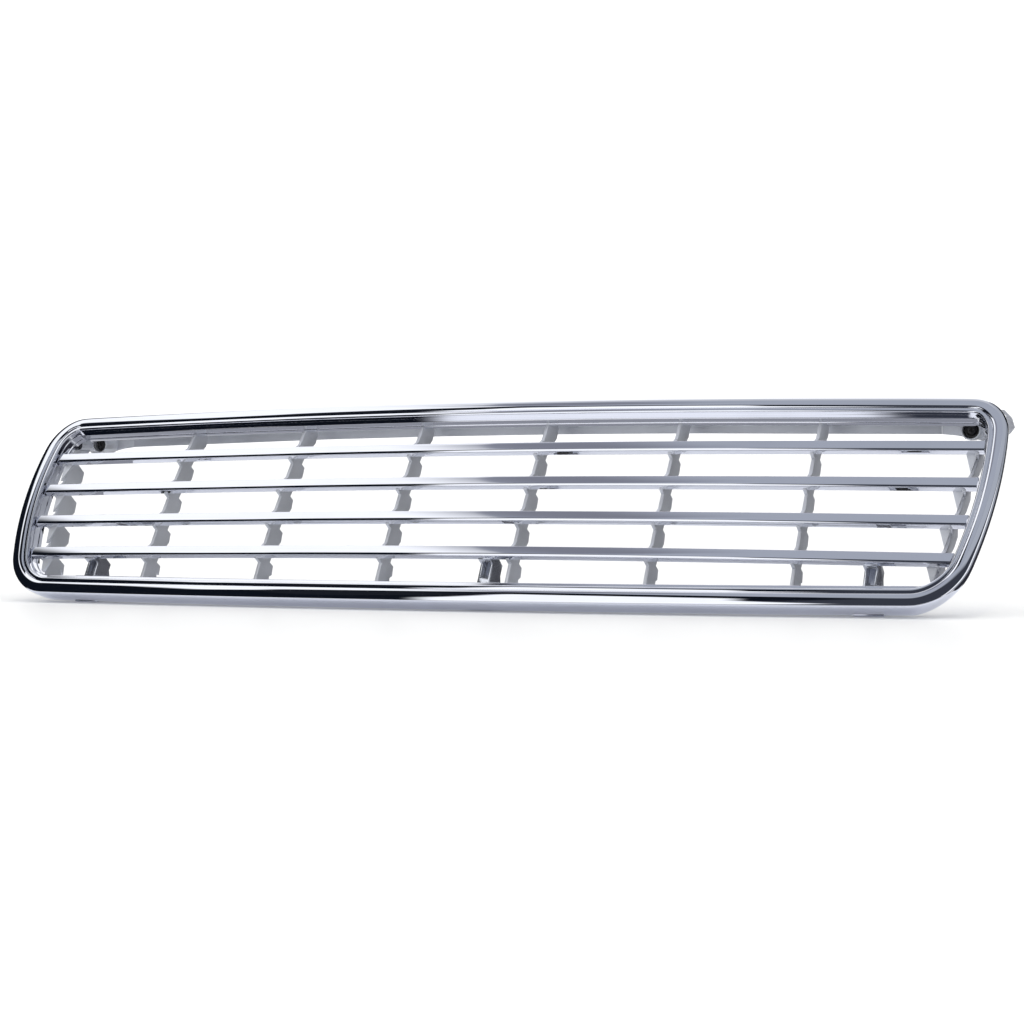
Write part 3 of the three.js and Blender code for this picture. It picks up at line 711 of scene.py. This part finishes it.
# What the plating mirrors, laid over a white room in this order. Sideways angles are from straight ahead
# of the grille, to its left below zero, and heights are above the horizon, both in degrees. A slant is how
# far the lower edge drops for each degree to the right. A bend leans both upright edges to the left, by
# that many degrees at a height of 50.
STUDIO = [
    # sideways     height     slant bend soft  light
    ((-128, 175), (-38, 75), 0, 0, 1.5, (0.005, 0.007, 0.012)),          # the dark room
    ((-16, 52), (-38, 75), 0, 0, 1.5, (0.045, 0.050, 0.066)),            # its paler right side
    ((54, 80), (-45, 54), 0, 0, 2.0, (1.1, 1.12, 1.15)),                 # strip light on the right
    ((80, 128), (-38, 58), 0, 0, 2.0, (0.34, 0.36, 0.40)),               # grey wall on the right
    ((-71, -56), (29.3, 80), 0.29, 0, 1.0, (1.2, 1.22, 1.25)),           # long light panel on the left
    ((-132, -68), (49.3, 80), 0, 0, 1.0, (1.2, 1.22, 1.25)),
    ((-90, -40), (9.6, 90), 0.71, 0, 1.0, (0.012, 0.014, 0.020)),        # dark above the panel
    ((-80, -61), (50, 80), 0, 0, 0.8, (1.2, 1.22, 1.25)),                # white gap below the ceiling
    ((-26, -8), (-60, 54.5), 0, 12, 1.0, (1.2, 1.22, 1.25)),             # upright strip light
    ((-200, -20), (58.6, 130), 0.09, 0, 0.4, (0.42, 0.45, 0.52)),        # grey ceiling
    ((-84, -56), (64.5, 72), 0, 0, 3.0, (0.24, 0.25, 0.30)),             # its darker part
    ((-20, 200), (60, 130), 0, 0, 1.3, (0.45, 0.48, 0.54)),
    ((-200, -88), (64, 130), 0, 0, 4.0, (0.62, 0.64, 0.68)),             # its paler left end
    ((-210, -120), (-34, -2), 0, 0, 4.0, (0.03, 0.03, 0.04)),            # dark behind, near the ground
    ((120, 210), (-34, -2), 0, 0, 4.0, (0.03, 0.03, 0.04)),
    ((-200, 200), (-130, -40), 0, 0, 7.0, (0.30, 0.31, 0.35)),           # dim ground, beyond the mat
]


def edge(nodes, value, at, soft):
    """Rises from 0 to 1 over the softness on both sides of an edge. A softness below zero makes it fall."""
    return nodes.remap(value, at - soft, at + soft, 0, 1, "SMOOTHSTEP")


def build_world():
    """Plain white for the background and the floor's light, and the studio for mirrored light."""
    world = bpy.data.worlds.new("studio")
    bpy.context.scene.world = world
    world.use_nodes = True
    nodes = Nodes(world.node_tree)
    direction = nodes.node("ShaderNodeSeparateXYZ")
    nodes.link(nodes.node("ShaderNodeTexCoord").outputs["Generated"], direction.inputs["Vector"])
    x, y, z = direction.outputs
    sideways = nodes.math("DEGREES", nodes.math("ARCTAN2", x, nodes.math("MULTIPLY", y, -1)))
    height = nodes.math("DEGREES", nodes.math("ARCSINE", z))
    light = (1.15, 1.16, 1.18)
    for (left, right), (low, high), slant, bend, soft, colour in STUDIO:
        bent = nodes.math("MULTIPLY_ADD", nodes.math("MULTIPLY", height, height), bend / 2500, sideways)
        slanted = nodes.math("MULTIPLY_ADD", sideways, slant, height)
        mask = nodes.math("MULTIPLY", edge(nodes, bent, left, soft), edge(nodes, bent, right, -soft))
        mask = nodes.math("MULTIPLY", mask, edge(nodes, slanted, low, soft))
        mask = nodes.math("MULTIPLY", mask, edge(nodes, height, high, -soft))
        light = nodes.blend(mask, light, colour)
    mirrored = nodes.tree.nodes["Background"]
    nodes.link(light, mirrored.inputs["Color"])
    plain = nodes.node("ShaderNodeBackground")
    plain.inputs["Color"].default_value = (1, 1, 1, 1)
    plain.inputs["Strength"].default_value = 1.25
    switch = nodes.node("ShaderNodeMixShader")
    nodes.link(nodes.node("ShaderNodeLightPath").outputs["Is Glossy Ray"], switch.inputs[0])
    nodes.link(plain.outputs["Background"], switch.inputs[1])
    nodes.link(mirrored.outputs["Background"], switch.inputs[2])
    nodes.link(switch.outputs["Shader"], nodes.tree.nodes["World Output"].inputs["Surface"])


def build_camera():
    camera = bpy.data.cameras.new("camera")
    camera.lens = CAMERA_LENS
    camera.sensor_width = CAMERA_SENSOR
    camera.clip_start = 0.05
    camera.clip_end = 100
    obj = bpy.data.objects.new("camera", camera)
    back = Vector(CAMERA_BACK).normalized()
    up = back.cross(Vector(CAMERA_RIGHT)).normalized()
    right = up.cross(back)
    turn = Matrix((right, up, back)).transposed().to_4x4()
    obj.matrix_world = Matrix.Translation((Vector(CAMERA_PLACE) + FACE_MIDDLE) * MM) @ turn
    bpy.context.scene.collection.objects.link(obj)
    bpy.context.scene.camera = obj


build_surround()
for row_number in range(1, SLAT_COUNT + 1):
    build_slat(row_number)
build_mouldings()
build_hardware()
build_floor()
build_mat()
build_world()
build_camera()
bpy.context.scene.view_settings.view_transform = "Standard"
